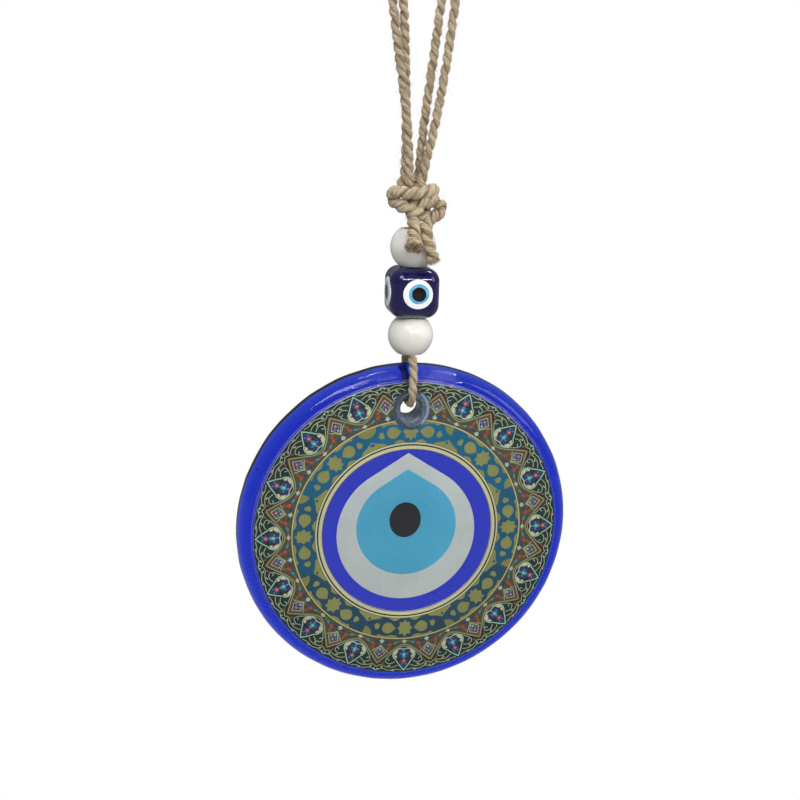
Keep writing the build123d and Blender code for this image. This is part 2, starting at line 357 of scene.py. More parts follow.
jute = Mat("jute_twine")
at = jute.node("ShaderNodeAttribute", attribute_name="rest")
mp = jute.node("ShaderNodeMapping")
mp.inputs["Scale"].default_value = (0.45, 7.0, 7.0)
jute.link(at.outputs["Vector"], mp.inputs[0])
fine = jute.noise(mp.outputs[0], 1.0, 4.0, 0.6)
mp2 = jute.node("ShaderNodeMapping")
mp2.inputs["Scale"].default_value = (0.10, 0.9, 0.9)
jute.link(at.outputs["Vector"], mp2.inputs[0])
broad = jute.noise(mp2.outputs[0], 1.0, 2.0)
fibre_col = jute.ramp(
    fine,
    [(0.30, srgb(104, 86, 62)), (0.43, srgb(178, 158, 126)), (0.54, srgb(212, 197, 168)), (0.70, srgb(242, 232, 210))],
)
tone = jute.ramp(broad, [(0.30, (0.66, 0.60, 0.54)), (0.55, (0.95, 0.93, 0.90)), (0.75, (1.08, 1.06, 1.02))])
col = jute.mix(1.0, fibre_col, tone, "MULTIPLY")
# painted shade: the plies are darkened where they meet each other and at the cut ends' tips, by the crest value
cr = jute.node("ShaderNodeAttribute", attribute_name="crest")
painted_ply_shade = jute.ramp(cr.outputs["Fac"], [(0.12, (0.52, 0.46, 0.38)), (0.45, (0.88, 0.86, 0.82)), (0.75, (1, 1, 1))])
col = jute.mix(1.0, col, painted_ply_shade, "MULTIPLY")
jute.link(col, jute.p.inputs["Base Color"])
jute.link(jute.ramp(fine, [(0.3, (0.95, 0.95, 0.95)), (0.8, (0.72, 0.72, 0.72))]), jute.p.inputs["Roughness"])
jute.set(Specular_IOR_Level=0.25, Sheen_Weight=0.15, Sheen_Roughness=0.5)
jute.bump(fine, 1.0, 0.00045)

cord = piece("jute_cord", verts, faces, [jute])
a = cord.data.attributes.new("rest", "FLOAT_VECTOR", "POINT")
a.data.foreach_set("vector", np.array(rest, np.float32).ravel())
a = cord.data.attributes.new("crest", "FLOAT", "POINT")
a.data.foreach_set("value", np.array(crest, np.float32))
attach(cord, "cord")
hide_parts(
    "bight_cord", "cord_knot", "outer_hanging_loop", "inner_hanging_loop", "left_cord_tail", "right_cord_tail"
)

# loose fibres along the cord, and the frayed cut ends
rnd = random.Random(7)
fv, ff, ft = [], [], []


def fibre(start, direction, length, radius, curl, steps=4, tone=0.5):
    """A thin bent tapering fibre of three sides."""
    d = Vector(direction).normalized()
    side = d.orthogonal().normalized()
    bend = Matrix.Rotation(rnd.uniform(0, 6.28), 3, d) @ side
    p = Vector(start)
    prev = None
    for k in range(steps + 1):
        t = k / steps
        r = radius * (1 - 0.75 * t)
        o = d.orthogonal().normalized()
        q = d.cross(o)
        ring = []
        for j in range(3):
            an = 2.094 * j
            ring.append(len(fv))
            fv.append(p + (o * math.cos(an) + q * math.sin(an)) * r)
            ft.append(tone)
        if prev:
            strip(ff, prev, ring)
        else:
            ff.append((ring[2], ring[1], ring[0]))
        prev = ring
        d = (d + bend * curl / steps + Vector([rnd.uniform(-1, 1) for _ in range(3)]) * 0.10).normalized()
        p = p + d * length / steps
    ff.append(tuple(prev))


def blocked(p):
    """True inside the beads' bores or the disc's hole, where a loose fibre has no room."""
    x, y, z = p.x / MM, p.y / MM, p.z / MM - D
    r = math.hypot(x, y)
    if 57.5 < z < 98.6 and r < 8.3:
        return True
    return z < 57.5 and abs(y) < 9


for _ in range(2500):
    i = rnd.randrange(6, n_ring - 6)
    c = Vector(centre[i])
    if blocked(c):
        continue
    an = rnd.uniform(0, 6.283)
    out = Vector(math.cos(an) * normal[i] + math.sin(an) * binormal[i])
    t = Vector(tangent[i]) * rnd.choice((-1, 1))
    length = rnd.choice((1.2, 1.8, 2.6, 3.6)) * MM * rnd.uniform(0.7, 1.2)
    start = c + out * 1.15 * MM * swell(s_at[i])
    if blocked(start + out * 1.4 * MM):
        continue
    fibre(start, t * rnd.uniform(0.7, 1.4) + out * rnd.uniform(0.25, 0.9), length, 0.028 * MM, rnd.uniform(-0.8, 0.8),
          tone=rnd.uniform(0.3, 1.0))
for i, sign in ((0, -1), (n_ring - 1, 1)):
    w = swell(s_at[i])
    for ply in range(2):
        th = -2 * math.pi * s_at[i] / PITCH + math.pi * ply + 0.35 * math.sin(s_at[i] * 190 + 2 * ply)
        nr = math.cos(th) * normal[i] + math.sin(th) * binormal[i]
        nt = -math.sin(th) * normal[i] + math.cos(th) * binormal[i]
        for _ in range(230):
            rr, aa = math.sqrt(rnd.random()) * 0.95, rnd.uniform(0, 6.283)
            off = nr * (PLY_OFF * w + math.cos(aa) * rr * PLY_R * w) + nt * math.sin(aa) * rr * PLY_R * w
            start = Vector(centre[i] + off - tangent[i] * sign * 0.5 * MM)
            out = Vector(off).normalized()
            d = Vector(tangent[i]) * sign + out * rnd.uniform(0.05, 0.55) * rr
            fibre(start, d, rnd.uniform(0.9, 2.3) * MM, rnd.uniform(0.05, 0.085) * MM, rnd.uniform(-0.5, 0.5), 3,
                  tone=rnd.uniform(0.0, 0.9))

fib = Mat("jute_fibres")
ta = fib.node("ShaderNodeAttribute", attribute_name="tone")
nf = fib.noise(fib.coords("Object", (1, 1, 1)), 900, 2)
fc = fib.ramp(ta.outputs["Fac"], [(0.0, srgb(84, 62, 40)), (0.5, srgb(176, 152, 116)), (1.0, srgb(238, 224, 196))])
fib.link(fib.mix(0.35, fc, fib.ramp(nf, [(0.3, (0.25, 0.19, 0.12)), (0.7, (0.72, 0.6, 0.44))])), fib.p.inputs["Base Color"])
fib.set(Roughness=0.85, Specular_IOR_Level=0.2)
fuzz = piece("jute_loose_fibres", fv, ff, [fib])
a = fuzz.data.attributes.new("tone", "FLOAT", "POINT")
a.data.foreach_set("value", np.array(ft, np.float32))
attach(fuzz, "cord")
print(f"cord {CORD_LENGTH * 1000:.1f} mm, {len(faces)} quads, fibres {len(ff)}")

# ---------------------------------------------------------------------------
# Glass disc
# ---------------------------------------------------------------------------
DISC_R, RIM_IN, RIM_TURN_Y, FRONT_Y, BACK_Y, BACK_EDGE_R = 55.0, 50.6, 1.5, -4.5, 4.5, 3.0
HOLE_DZ, HOLE_R, LIP_FRONT, LIP_BACK = 41.1, 3.25, 1.6, 1.2


def fill(verts, loops, extra, y, faces, flip, inside):
    """Triangulates a flat face at height y between closed loops of existing vertices, with extra points in it."""
    ids = [v for loop in loops for v in loop]
    p2 = [Vector((verts[v][0] / MM, verts[v][2] / MM - D)) for v in ids]
    edges, n = [], 0
    for loop in loops:
        edges += [(n + i, n + (i + 1) % len(loop)) for i in range(len(loop))]
        n += len(loop)
    for q in extra:
        ids.append(len(verts))
        verts.append(P(q[0], y, q[1]))
        p2.append(Vector(q))
    r = geometry.delaunay_2d_cdt(p2, edges, [], 0, 1e-6)
    for f in r[2]:
        c = sum((r[0][v] for v in f), Vector((0, 0))) / 3
        if inside(c.x, c.y):
            t = [ids[r[3][v][0]] for v in f]
            a, b, c3 = (Vector(verts[v]) for v in t)
            up = (b - a).cross(c3 - a).y > 0
            faces.append(tuple(t if up != flip else t[::-1]))


def circle_ring(verts, cx, cz, rx, rz, y, n):
    ring = []
    for i in range(n):
        an = 2 * math.pi * i / n
        ring.append(len(verts))
        verts.append(P(cx + rx * math.cos(an), y, cz + rz * math.sin(an)))
    return ring


def disc_points(r_max, hole, step, seed):
    out, g = [], random.Random(seed)
    r = step
    while r < r_max:
        n = max(6, int(2 * math.pi * r / step))
        ph = g.uniform(0, 1)
        for i in range(n):
            an = 2 * math.pi * (i + ph) / n
            x, z = r * math.cos(an), r * math.sin(an)
            if math.hypot(x, z - HOLE_DZ) > hole:
                out.append((x, z))
        r += step
    return out


verts, faces = [], []
rim = [(50.3, FRONT_Y)]
for k in range(17):
    t = math.radians(90 * k / 16)
    rim.append((RIM_IN + (DISC_R - RIM_IN) * math.sin(t), RIM_TURN_Y - (RIM_TURN_Y - FRONT_Y) * math.cos(t)))
for k in range(1, 13):
    t = math.radians(90 * k / 12)
    rim.append((DISC_R - BACK_EDGE_R + BACK_EDGE_R * math.cos(t), BACK_Y - BACK_EDGE_R + BACK_EDGE_R * math.sin(t)))
rim.append((51.6, BACK_Y))
rim_rings = [circle_ring(verts, 0, 0, r, r, y, 288) for r, y in rim]
for a, b in zip(rim_rings, rim_rings[1:]):
    strip(faces, a, b)
bore = [(HOLE_R + LIP_FRONT + 0.2, FRONT_Y)]
for k in range(11):
    t = math.radians(90 * k / 10)
    bore.append((HOLE_R + LIP_FRONT - LIP_FRONT * math.sin(t), FRONT_Y + LIP_FRONT - LIP_FRONT * math.cos(t)))
bore += [(HOLE_R, y) for y in (-1.4, 0.3, 2.0)]
for k in range(9):
    t = math.radians(90 * k / 8)
    bore.append((HOLE_R + LIP_BACK - LIP_BACK * math.cos(t), BACK_Y - LIP_BACK + LIP_BACK * math.sin(t)))
bore.append((HOLE_R + LIP_BACK + 0.2, BACK_Y))
bore_rings = [circle_ring(verts, 0, HOLE_DZ, r, r, y, 96) for r, y in bore]
for a, b in zip(bore_rings, bore_rings[1:]):
    strip(faces, b, a)


def in_disc(x, z, r, h):
    return math.hypot(x, z) < r and math.hypot(x, z - HOLE_DZ) > h


fill(verts, [rim_rings[0], bore_rings[0]], disc_points(49.5, 6.2, 4.0, 3), FRONT_Y, faces, True,
     lambda x, z: in_disc(x, z, 50.3, HOLE_R + LIP_FRONT + 0.19))
fill(verts, [rim_rings[-1], bore_rings[-1]], disc_points(50.6, 5.6, 3.0, 4), BACK_Y, faces, False,
     lambda x, z: in_disc(x, z, 51.6, HOLE_R + LIP_BACK + 0.19))
# poured glass is never quite true: the rim and the back wander by a few hundredths of a millimetre
for i, v in enumerate(verts):
    x, y, z = v.x / MM, v.y / MM, v.z / MM - D
    r = math.hypot(x, z)
    if y > FRONT_Y + 0.02:
        w = noise.noise(Vector((x, y * 0.6, z)) * 0.09) * 0.22 + noise.noise(Vector((x, y, z)) * 0.23 + Vector((9, 0, 0))) * 0.05
        k = smooth01((y - FRONT_Y) / 3.0)
        if r > 49:
            v.x *= 1 - abs(w) * k / r
            v.z = (D + z * (1 - abs(w) * k / r)) * MM
        if y > BACK_Y - 0.02:
            v.y -= abs(w) * 0.45 * MM

glass = Mat("cobalt_glass")
glass.set(
    Base_Color=(0.80, 0.88, 1.0, 1), Roughness=0.015, IOR=1.5, Transmission_Weight=1.0, Specular_IOR_Level=0.5
)
gn = glass.noise(glass.coords("Object", (1, 1, 1)), 95, 2.0)
glass.bump(gn, 0.03, 0.0004)
va = glass.node("ShaderNodeVolumeAbsorption")
va.inputs["Color"].default_value = (0.04, 0.26, 0.85, 1)
va.inputs["Density"].default_value = 520
glass.link(va.outputs[0], glass.out.inputs["Volume"])
disc = piece("cobalt_glass_disc", verts, faces, [glass])
disc.visible_shadow = False
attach(disc, "disc")
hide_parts("glass_disc")

# specks of unmelted grit inside the glass
sv, sf = [], []
g = random.Random(21)
ICO = [(0, 0, 1), (0.894, 0, 0.447), (0.276, 0.851, 0.447), (-0.724, 0.526, 0.447), (-0.724, -0.526, 0.447),
       (0.276, -0.851, 0.447), (0.724, 0.526, -0.447), (-0.276, 0.851, -0.447), (-0.894, 0, -0.447),
       (-0.276, -0.851, -0.447), (0.724, -0.526, -0.447), (0, 0, -1)]
ICOF = [(0, 1, 2), (0, 2, 3), (0, 3, 4), (0, 4, 5), (0, 5, 1), (1, 6, 2), (2, 7, 3), (3, 8, 4), (4, 9, 5), (5, 10, 1),
        (2, 6, 7), (3, 7, 8), (4, 8, 9), (5, 9, 10), (1, 10, 6), (6, 11, 7), (7, 11, 8), (8, 11, 9), (9, 11, 10), (10, 11, 6)]
made = 0
while made < 330:
    an, r = g.uniform(0, 6.283), 53.4 * math.sqrt(g.random())
    x, z, y = r * math.cos(an), r * math.sin(an), g.uniform(-3.6, 3.6)
    if math.hypot(x, z - HOLE_DZ) < 5.2 or (r > 51 and y < (r - 51) * 1.6 - 3.2):
        continue
    made += 1
    size = g.choice((0.05, 0.07, 0.09, 0.13, 0.20)) * g.uniform(0.8, 1.2)
    n = len(sv)
    st = (g.uniform(0.7, 1.5), g.uniform(0.7, 1.3), g.uniform(0.7, 1.3))
    for q in ICO:
        sv.append(P(x + q[0] * size * st[0] * g.uniform(0.8, 1.2), y + q[1] * size * st[1], z + q[2] * size * st[2]))
    sf += [tuple(n + i for i in f) for f in ICOF]
grit = Mat("glass_grit")
gg = grit.noise(grit.coords("Object"), 2500, 2)
grit.link(grit.ramp(gg, [(0.35, (0.004, 0.004, 0.02)), (0.7, (0.02, 0.02, 0.10))]), grit.p.inputs["Base Color"])
grit.set(Roughness=0.7)
specks = piece("glass_specks", sv, sf, [grit])
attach(specks, "disc")

# ---------------------------------------------------------------------------
# Printed film: painted from flat shapes, in order, and cut into one mesh
# ---------------------------------------------------------------------------
FILM_R, MOUTH_RX, MOUTH_RZ = 49.8, 4.95, 5.65
art = []  # (points in mm, colour), later ones on top


def ring_pts(r, n=160, cx=0.0, cz=0.0, rz=None):
    rz = r if rz is None else rz
    return [(cx + r * math.sin(2 * math.pi * i / n), cz + rz * math.cos(2 * math.pi * i / n)) for i in range(n)]


def lay(points, colour, a0, r_mid):
    """Puts a shape drawn in band millimetres (u along the band, r from the centre) round the disc at angle a0."""
    out = []
    for u, r in points:
        an = math.radians(a0) + u / r_mid
        out.append((r * math.sin(an), r * math.cos(an)))
    art.append((out, colour))


def oval(u, r, a, b=None, tilt=0.0, n=12):
    b = a if b is None else b
    ct, stt = math.cos(math.radians(tilt)), math.sin(math.radians(tilt))
    return [
        (
            u + a * math.cos(2 * math.pi * i / n) * ct - b * math.sin(2 * math.pi * i / n) * stt,
            r + a * math.cos(2 * math.pi * i / n) * stt + b * math.sin(2 * math.pi * i / n) * ct,
        )
        for i in range(n)
    ]


def band_line(points, width, per=3):
    """A stroke of even width along a smooth line."""
    c = catmull(points, per)
    left, right = [], []
    for i, p in enumerate(c):
        q = c[min(i + 1, len(c) - 1)] - c[max(i - 1, 0)]
        n = np.array((-q[1], q[0])) / (np.hypot(*q) + 1e-9)
        left.append(tuple(p + n * width / 2))
        right.append(tuple(p - n * width / 2))
    return left + right[::-1]


def mirror(points):
    return [(-u, r) for u, r in points]


def both(points):
    return points, mirror(points)


OLIVE, OLIVE2 = srgb(122, 122, 68), srgb(131, 132, 76)
CREAM, CREAM2 = srgb(192, 192, 152), srgb(170, 170, 128)
GOLD, BROWN = srgb(196, 186, 128), srgb(98, 78, 50)
DARK, MINT = srgb(24, 36, 32), srgb(150, 186, 164)
NAVY, TEAL2 = srgb(34, 52, 104), srgb(56, 132, 148)
RED, PINK = srgb(172, 66, 62), srgb(220, 150, 128)
SPAND, RUST = srgb(64, 69, 53), srgb(140, 76, 52)
ARCH, SLATE, SLATE_HIGHLIGHT = srgb(156, 138, 92), srgb(54, 66, 84), srgb(122, 142, 164)

# inner band: strapwork, stars, drops and half discs
RI = 34.0
art.append((ring_pts(37.7, 240), OLIVE))
for k in range(8):
    a0 = 45 * k
    # painted light: the teal straps are brighter near the top of the disc and darker toward the bottom
    painted_top_light = 0.5 + 0.5 * math.cos(math.radians(a0 - 8))
    TEAL = tuple(a * (1 - painted_top_light) + b * painted_top_light for a, b in zip(srgb(28, 62, 82), srgb(6, 92, 128)))
    half = 13.35
    us = np.linspace(-half, half, 25)
    lay([(u, 37.6) for u in us] + [(u, 30.3) for u in us[::-1]], TEAL, a0, RI)
    # olive ground left open along both edges, between the straps
    for q in both([(8.4, 30.3), (9.3, 31.3), (10.6, 31.7), (12.0, 32.3), (half, 33.2), (half, 30.3)]):
        lay(q, OLIVE2, a0, RI)
    for q in both([(1.5, 30.3), (2.9, 31.25), (4.0, 31.5), (5.4, 30.9), (6.2, 30.3)]):
        lay(q, OLIVE2, a0, RI)
    for q in both([(1.7, 37.6), (2.9, 36.7), (4.2, 36.5), (5.6, 37.0), (7.2, 37.0), (8.3, 36.6), (9.0, 37.6)]):
        lay(q, OLIVE2, a0, RI)
    for q in both([(8.7, 33.1), (9.9, 32.9), (10.6, 33.9), (9.6, 35.2), (8.8, 34.8)]):
        lay(q, OLIVE2, a0, RI)
    lay(oval(half, 37.6, 4.05, n=28), TEAL, a0, RI)
    lay(oval(half, 37.6, 2.85, n=26), OLIVE, a0, RI)
    lay(oval(half, 32.1, 0.95, 0.5, n=10), TEAL, a0, RI)
    for sgn in (1, -1):
        c, r0, tip = 5.75 * sgn, 1.95, 2.75
        drop = [(c + r0 * math.cos(t), 34.1 + r0 * math.sin(t)) for t in np.linspace(-2.3, 2.3, 20)]
        drop = [(c + (u - c) * sgn, r) for u, r in drop] + [(c - tip * sgn, 34.1)]
        lay(drop, OLIVE2, a0, RI)
    star = []
    for i in range(16):
        rr = 3.05 if i % 2 == 0 else 2.2
        star.append((rr * 0.86 * math.sin(math.pi * i / 8), 34.0 + rr * math.cos(math.pi * i / 8)))
    lay(star, OLIVE2, a0, RI)

# outer band: it's laid as rings over the inner one, so it trims the half discs
outer_from = len(art)
OUT = []
RO = 43.7
for k in range(16):
    a0 = 22.5 * k
    W = 8.58
    pend = [(0, 46.9), (1.5, 45.2), (3.0, 43.6), (5.0, 41.6), (7.0, 40.4), (W, 39.8), (W, 37.6)]
    lay(pend + mirror(pend)[::-1][:-1], SPAND, a0 + 11.25, RO)
for k in range(16):
    a0 = 22.5 * k
    b0 = a0 + 11.25
    # between two arches: a diamond with petals, and small leaves under the gold line
    lay([(0, 45.4), (2.1, 43.2), (0, 40.6), (-2.1, 43.2)], CREAM2, b0, RO)
    lay([(0, 45.0), (1.75, 43.2), (0, 41.0), (-1.75, 43.2)], NAVY, b0, RO)
    for q in both(oval(0.85, 42.9, 0.55, 0.34, 50, 8)):
        lay(q, TEAL2, b0, RO)
    lay(oval(0, 42.0, 0.34, 0.5, n=8), MINT, b0, RO)
    lay(oval(0, 43.6, 0.62, 0.62, n=10), RED, b0, RO)
    lay(oval(0, 43.6, 0.26, 0.26, n=8), PINK, b0, RO)
    for q in both(oval(2.75, 41.6, 0.95, 0.42, -48, 10)):
        lay(q, RUST, b0, RO)
    for q in both(oval(3.3, 40.1, 0.9, 0.45, -35, 10)):
        lay(q, RED, b0, RO)
    for q in both(oval(1.7, 39.4, 0.8, 0.42, 20, 10)):
        lay(q, NAVY, b0, RO)
    for q in both(oval(5.3, 39.3, 0.95, 0.40, -22, 10)):
        lay(q, TEAL2, b0, RO)
    for q in both(oval(6.9, 38.9, 0.7, 0.32, -12, 8)):
        lay(q, RUST, b0, RO)
    lay([(0, 39.9), (1.0, 38.9), (0, 38.2), (-1.0, 38.9)], MINT, b0, RO)
    lay([(W, 39.5), (W - 1.1, 38.8), (W, 38.2), (W + 1.1, 38.8)], MINT, b0, RO)
    for q in both(band_line([(0, 40.4), (1.6, 41.9), (2.9, 42.9)], 0.24)):
        lay(q, CREAM2, b0, RO)
    for q in both(band_line([(0.2, 40.2), (2.2, 39.9), (4.4, 38.3)], 0.26)):
        lay(q, BROWN, b0, RO)
    # the arch over each medallion
    arch = [(-W, 46.9), (-7.1, 45.2), (-5.6, 43.6), (-3.6, 41.6), (-1.7, 40.4), (0, 39.9), (1.7, 40.4), (3.6, 41.6),
            (5.6, 43.6), (7.1, 45.2), (W, 46.9)]
    lay(band_line(arch, 0.66, 2), BROWN, a0, RO)
    lay(band_line(arch, 0.32, 2), ARCH, a0, RO)
    inner_arch = [(-5.9, 45.1), (-4.9, 43.9), (-3.4, 42.2), (-1.6, 41.0), (0, 40.6), (1.6, 41.0), (3.4, 42.2), (4.9, 43.9),
                  (5.9, 45.1)]
    lay(band_line(inner_arch, 0.20, 2), MINT, a0, RO)
    # scrolls and leaves in the dark ground
    for q in both(band_line([(2.9, 46.1), (4.2, 46.9), (5.6, 46.6), (6.0, 45.7), (5.3, 45.2), (4.8, 45.8)], 0.24)):
        lay(q, MINT, a0, RO)
    for q in both(band_line([(1.9, 47.4), (3.6, 48.2), (5.6, 48.0), (7.3, 47.4), (W, 48.2)], 0.24)):
        lay(q, CREAM2, a0, RO)
    for q in both(band_line([(0.8, 49.2), (2.8, 48.9), (4.6, 49.3), (6.6, 48.7), (W, 49.4)], 0.20)):
        lay(q, MINT, a0, RO)
    for q in both(oval(4.6, 47.6, 0.55, 0.24, 30, 8)):
        lay(q, CREAM2, a0, RO)
    for q in both(oval(6.9, 48.2, 0.5, 0.22, -35, 8)):
        lay(q, MINT, a0, RO)
    for q in both(oval(6.7, 46.7, 0.6, 0.26, 55, 8)):
        lay(q, RUST, a0, RO)
    for q in both(oval(3.3, 49.35, 0.5, 0.18, 0, 8)):
        lay(q, CREAM2, a0, RO)
    for q in both(oval(8.1, 48.9, 0.4, 0.2, 60, 8)):
        lay(q, MINT, a0, RO)
    # medallion
    med = [(0, 41.5), (1.3, 41.2), (2.7, 41.5), (3.7, 42.5), (4.0, 43.8), (3.5, 45.0), (2.7, 45.7), (2.2, 46.5), (1.4, 47.7),
           (0.6, 48.8), (0, 49.5)]
    lay(med + mirror(med)[::-1][1:-1], MINT, a0, RO)
    core = [(u * 0.87, 44.6 + (r - 44.6) * 0.88) for u, r in med]
    lay(core + mirror(core)[::-1][1:-1], DARK, a0, RO)
    for q in both([(1.9, 41.95), (2.9, 42.2), (3.4, 43.2), (3.3, 44.3), (2.6, 45.1), (2.3, 44.6), (2.6, 43.6), (2.3, 42.7)]):
        lay(q, CREAM, a0, RO)
    for q in both(oval(2.75, 43.7, 0.34, 0.34, n=8)):
        lay(q, RUST, a0, RO)
    for q in both(oval(2.35, 42.55, 0.26, 0.26, n=8)):
        lay(q, PINK, a0, RO)
    for q in both(oval(1.15, 42.7, 0.95, 0.75, 25, 12)):
        lay(q, NAVY, a0, RO)
    for q in both(oval(1.25, 44.3, 0.8, 0.62, -30, 12)):
        lay(q, NAVY, a0, RO)
    for q in both(oval(1.05, 43.45, 0.5, 0.3, 0, 8)):
        lay(q, TEAL2, a0, RO)
    lay([(0, 42.4), (0.75, 43.4), (0.6, 44.6), (0, 45.3), (-0.6, 44.6), (-0.75, 43.4)], TEAL2, a0, RO)
    lay(oval(0, 43.7, 0.36, 0.5, n=8), MINT, a0, RO)
    lay([(0, 48.5), (1.5, 46.2), (0.9, 45.4), (-0.9, 45.4), (-1.5, 46.2)], NAVY, a0, RO)
    lay(oval(0, 46.0, 0.72, 0.72, n=12), RED, a0, RO)
    lay(oval(0, 46.05, 0.28, 0.28, n=8), PINK, a0, RO)
    for q in both(oval(0.62, 47.1, 0.42, 0.2, 60, 8)):
        lay(q, TEAL2, a0, RO)
    lay(band_line([(0, 41.4), (0.25, 42.0), (0, 42.5)], 0.22), PINK, a0, RO)
outer_art = art[outer_from:]
del art[outer_from:]

# gold line, cream rings and the eye
eye_x = -0.5


def drop_shape(cz, r, tip, n=120):
    half = math.acos(r / (tip - cz))
    pts_ = [(eye_x + r * math.sin(t), cz + r * math.cos(t)) for t in np.linspace(half, 2 * math.pi - half, n)]
    return pts_ + [(eye_x, tip)]


art.append((ring_pts(30.45, 200), BROWN))
art.append((ring_pts(30.25, 200), CREAM))
art.append((ring_pts(29.75, 200), DARK))
art.append((ring_pts(29.25, 200), CREAM))
art.append((ring_pts(28.2, 200), BROWN))
art.append((ring_pts(27.95, 200), None))  # open: the blue glass shows
art.append((drop_shape(-0.35, 22.85, 26.75), srgb(176, 183, 181)))
art.append((drop_shape(1.8, 16.5, 21.4), srgb(72, 154, 184)))
art.append((ring_pts(5.2, 72, -0.97, 4.2, 6.0), srgb(34, 34, 38)))

allshapes = [(ring_pts(FILM_R, 320), DARK)] + outer_art
ring_gold = [(ring_pts(38.05, 260), BROWN), (ring_pts(37.88, 260), GOLD), (ring_pts(37.55, 260), BROWN)]
allshapes += ring_gold + [(ring_pts(37.4, 260), OLIVE)]
# painted shade and highlight: a dark slate ring round the hole stands in for the shade in its clear glass mouth, and a
# paler arc on the right is a painted highlight of the coat's rounded edge
hole_shade_and_highlight = [(ring_pts(5.95, 90, 0, HOLE_DZ, 6.65), SLATE)]
arc_out = [(5.75 * math.sin(t), HOLE_DZ + 6.4 * math.cos(t)) for t in np.linspace(0.5, 2.5, 24)]
arc_in = [(4.95 * math.sin(t), HOLE_DZ + 5.75 * math.cos(t)) for t in np.linspace(2.3, 0.7, 24)]
hole_shade_and_highlight.append((arc_out + arc_in, SLATE_HIGHLIGHT))
inner_clip = 37.4
shapes = allshapes + art[1:] + hole_shade_and_highlight
mouth_ring = [(MOUTH_RX * math.sin(2 * math.pi * i / 96), HOLE_DZ + MOUTH_RZ * math.cos(2 * math.pi * i / 96)) for i in range(96)]

v2, e2 = [], []
for poly, _c in shapes + [(mouth_ring, None)]:
    n = len(v2)
    v2 += [Vector(p) for p in poly]
    e2 += [(n + i, n + (i + 1) % len(poly)) for i in range(len(poly))]
res = geometry.delaunay_2d_cdt(v2, e2, [], 0, 1e-4)
cv = np.array([v[:] for v in res[0]])
cf = np.array(res[2])
cen = cv[cf].mean(axis=1)
colours = np.zeros((len(cf), 3))
keep = np.zeros(len(cf), bool)


def contains(poly, q):
    poly = np.array(poly)
    x, y = q[:, 0], q[:, 1]
    inside = np.zeros(len(q), bool)
    j = len(poly) - 1
    for i in range(len(poly)):
        xi, yi = poly[i]
        xj, yj = poly[j]
        cross = ((yi > y) != (yj > y)) & (x < (xj - xi) * (y - yi) / (yj - yi + 1e-30) + xi)
        inside ^= cross
        j = i
    return inside


rc = np.hypot(cen[:, 0], cen[:, 1])
n_outer = len(allshapes)
for num, (poly, c) in enumerate(shapes):
    pa = np.array(poly)
    lo2, hi2 = pa.min(0), pa.max(0)
    cand = np.where((cen[:, 0] >= lo2[0]) & (cen[:, 0] <= hi2[0]) & (cen[:, 1] >= lo2[1]) & (cen[:, 1] <= hi2[1]))[0]
    if n_outer <= num < len(shapes) - len(hole_shade_and_highlight):
        cand = cand[rc[cand] < inner_clip]
    hit = cand[contains(poly, cen[cand])] if len(cand) else cand
    if c is None:
        keep[hit] = False
    else:
        keep[hit] = True
        colours[hit] = c
keep[contains(mouth_ring, cen)] = False
area2 = np.abs(np.cross(cv[cf[:, 1]] - cv[cf[:, 0]], cv[cf[:, 2]] - cv[cf[:, 0]]))
keep &= area2 > 1e-7
cf, colours = cf[keep], colours[keep]
used, inv = np.unique(cf.ravel(), return_inverse=True)
cf = inv.reshape(-1, 3)
cv = cv[used]
FILM_FRONT, FILM_BACK = -4.74, -4.53
verts = [P(x, FILM_FRONT, z) for x, z in cv]
faces = []
for f in cf:
    a, b, c = (cv[i] for i in f)
    ccw = (b[0] - a[0]) * (c[1] - a[1]) - (b[1] - a[1]) * (c[0] - a[0]) > 0
    faces.append(tuple(int(i) for i in (f if ccw else f[::-1])))
n_front = len(faces)
count = {}
for f in faces:
    for i in range(3):
        e = (f[i], f[(i + 1) % 3])
        count[e] = count.get(e, 0) + 1
open_edges = [e for e in count if (e[1], e[0]) not in count]
back_of = {}
for a, b in open_edges:
    for v in (a, b):
        if v not in back_of:
            back_of[v] = len(verts)
            verts.append(P(cv[v][0], FILM_BACK, cv[v][1]))
for a, b in open_edges:
    faces.append((b, a, back_of[a], back_of[b]))
ids = sorted(back_of)
num_of = {v: i for i, v in enumerate(ids)}
rb = geometry.delaunay_2d_cdt([Vector(cv[v]) for v in ids], [(num_of[a], num_of[b]) for a, b in open_edges], [], 0, 1e-6)
drop_poly = drop_shape(-0.35, 22.85, 26.75)
bc = np.array([(sum((rb[0][v] for v in f), Vector((0, 0))) / 3)[:] for f in rb[2]])
rr = np.hypot(bc[:, 0], bc[:, 1])
ok = ((rr > 27.9) | contains(drop_poly, bc)) & ~contains(mouth_ring, bc)
for f, good in zip(rb[2], ok):
    if good:
        t = [back_of[ids[rb[3][v][0]]] for v in f]
        a, b, c = (Vector(verts[v]) for v in t)
        up = (b - a).cross(c - a).y > 0
        faces.append(tuple(t if up else t[::-1]))

